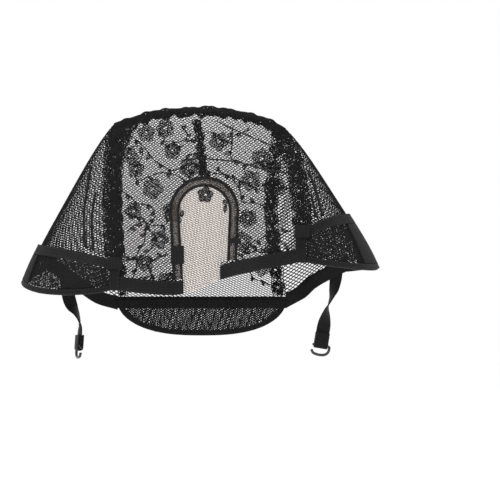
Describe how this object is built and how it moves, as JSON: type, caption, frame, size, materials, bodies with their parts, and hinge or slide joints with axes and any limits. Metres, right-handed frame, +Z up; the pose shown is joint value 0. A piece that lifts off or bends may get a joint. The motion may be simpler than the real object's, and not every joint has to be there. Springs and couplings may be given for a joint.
{
  "type": "wig cap",
  "caption": "Black stretch lace wig cap with a U-shaped part opening, elastic hems, ear tabs, a meshed nape piece and two short hooked straps.",
  "frame": {"origin": "inner apex of the crown, where the top of the head sits", "axes": "+X to the wearer's left (the picture's right), +Y to the back of the head, +Z up along the head"},
  "size_m": [0.2596, 0.1072, 0.185],
  "materials": {
    "lace": "sheer black floral lace on a fine diagonal net",
    "net": "black stretch mesh",
    "elastic": "matte black woven elastic tape",
    "binding": "black binding with a slight sheen",
    "parting": "sheer nude net",
    "casing": "sheer brown-beige ribbon",
    "metal": "dark gunmetal wire"
  },
  "bodies": {
    "root": {"crown_lace_front": "lace", "crown_lace_back": "lace", "crest_lace_band": "lace", "centre_lace_strip": "lace", "apex_rosette": "lace", "lace_band_front_left": "lace", "lace_band_front_right": "lace", "lace_band_back_left": "lace", "lace_band_back_right": "lace", "side_net_left": "net", "side_net_right": "net", "ear_tab_left": "net", "ear_tab_right": "net", "nape_panel": "net", "front_band_left": "elastic", "front_band_right": "elastic", "back_tape_left": "elastic", "back_tape_right": "elastic", "nape_tape": "elastic", "tab_tape_left": "elastic", "tab_tape_right": "elastic", "tab_fold_left": "elastic", "tab_fold_right": "elastic", "tab_joint_left": "elastic", "tab_joint_right": "elastic", "joint_patch_left": "elastic", "joint_patch_right": "elastic", "casing_edge_outer": "elastic", "casing_edge_inner": "elastic", "casing_tack_left": "elastic", "casing_tack_right": "elastic", "side_seam_left_1": "elastic", "side_seam_left_2": "elastic", "side_seam_right_1": "elastic", "side_seam_right_2": "elastic", "strap_left": "elastic", "strap_right": "elastic", "strap_loop_left": "elastic", "strap_loop_right": "elastic", "tab_hem_left": "binding", "tab_hem_right": "binding", "nape_binding": "binding", "bar_tack_1": "binding", "bar_tack_2": "binding", "bar_tack_3": "binding", "bar_tack_4": "binding", "bar_tack_5": "binding", "bar_tack_6": "binding", "parting_net": "parting", "part_casing": "casing", "hook_left": "metal", "hook_right": "metal"}
  },
  "joints": []
}
